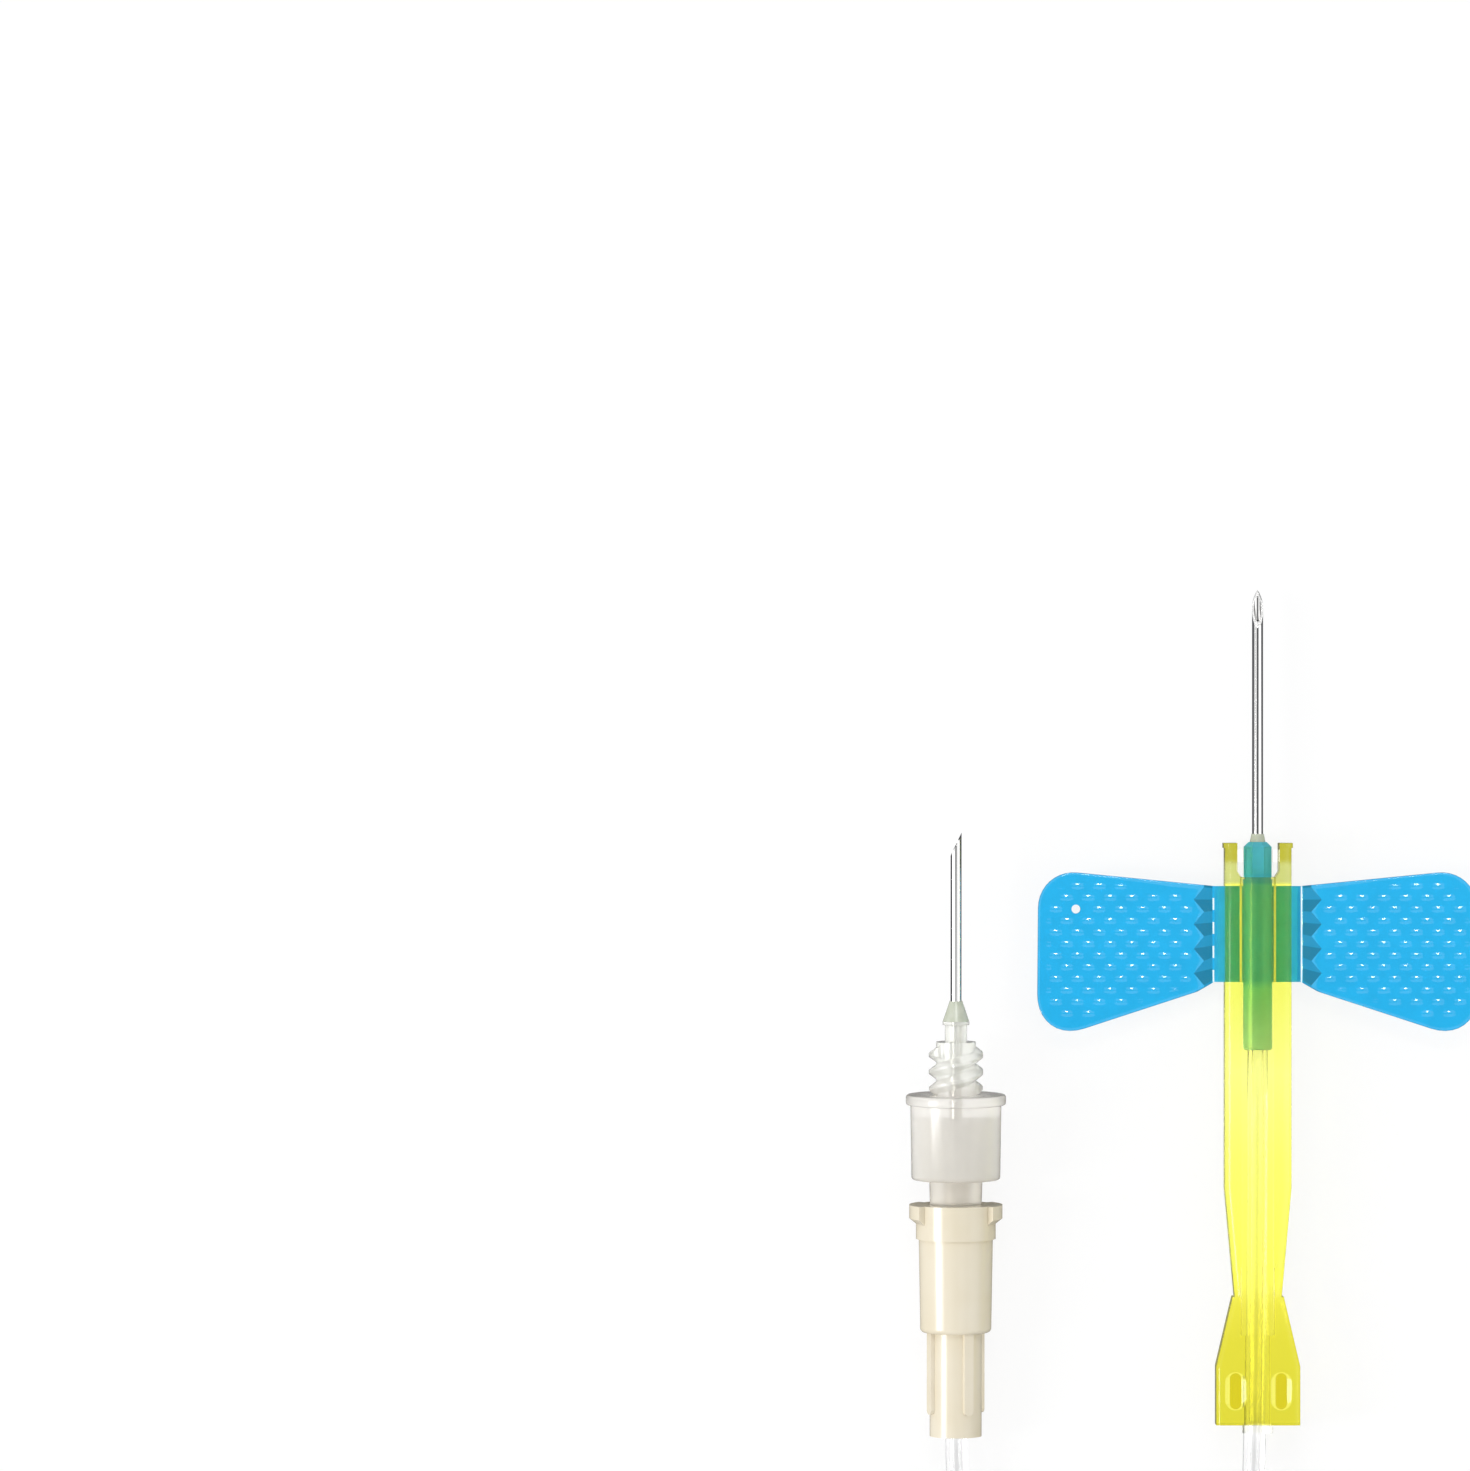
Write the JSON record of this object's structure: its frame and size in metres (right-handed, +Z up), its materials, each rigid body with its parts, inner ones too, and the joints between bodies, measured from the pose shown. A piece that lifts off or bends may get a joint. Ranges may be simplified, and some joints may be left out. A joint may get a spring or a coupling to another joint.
{
  "type": "butterfly needle",
  "caption": "Winged blood collection needle with folding wings, sliding safety shield, coiled tubing, and a luer connector carrying a threaded tube-holder needle.",
  "frame": {"origin": "under the middle of the needle, wings and shield, on the surface that the shield lies on", "axes": "+Y along the patient needle towards its tip, +X across the wings to the right seen from above, +Z up"},
  "size_m": [0.047, 0.1009, 0.0082],
  "materials": {
    "needle_steel": "polished stainless steel tube",
    "adhesive": "cloudy cured adhesive",
    "wing_plastic": "soft translucent blue plastic",
    "shield_plastic": "hard translucent yellow plastic",
    "tubing": "soft clear plastic tubing",
    "connector_plastic": "opaque ivory plastic with a satin surface",
    "clear_plastic": "hard clear plastic"
  },
  "bodies": {
    "hub": {"patient_needle": "needle_steel", "needle_adhesive": "adhesive", "wing_hub": "wing_plastic", "tubing_feed": "tubing", "tubing_coil": "tubing", "tubing_return": "tubing", "female_luer": "connector_plastic"},
    "shield": {"safety_shield": "shield_plastic"},
    "left_wing": {"left_wing": "wing_plastic"},
    "right_wing": {"right_wing": "wing_plastic"},
    "adapter": {"luer_adapter": "clear_plastic", "stopper_needle": "needle_steel", "stopper_needle_adhesive": "adhesive"}
  },
  "joints": [
    {"name": "shield_slide", "type": "slide", "parent": "hub", "child": "shield", "axis": [0, 1, 0], "range_m": [0, 0.0232]},
    {"name": "left_wing_fold", "type": "hinge", "parent": "hub", "child": "left_wing", "pos_m": [-0.00355, 0.00634, 0.0023], "axis": [0, 1, 0], "range_deg": [0, 90], "stiffness_Nm_per_rad": 0.001},
    {"name": "right_wing_fold", "type": "hinge", "parent": "hub", "child": "right_wing", "pos_m": [0.00355, 0.00634, 0.0023], "axis": [0, -1, 0], "range_deg": [0, 90], "stiffness_Nm_per_rad": 0.001},
    {"name": "adapter_pull", "type": "slide", "parent": "hub", "child": "adapter", "axis": [0, 0.998, 0.0635], "range_m": [0, 0.012]}
  ]
}
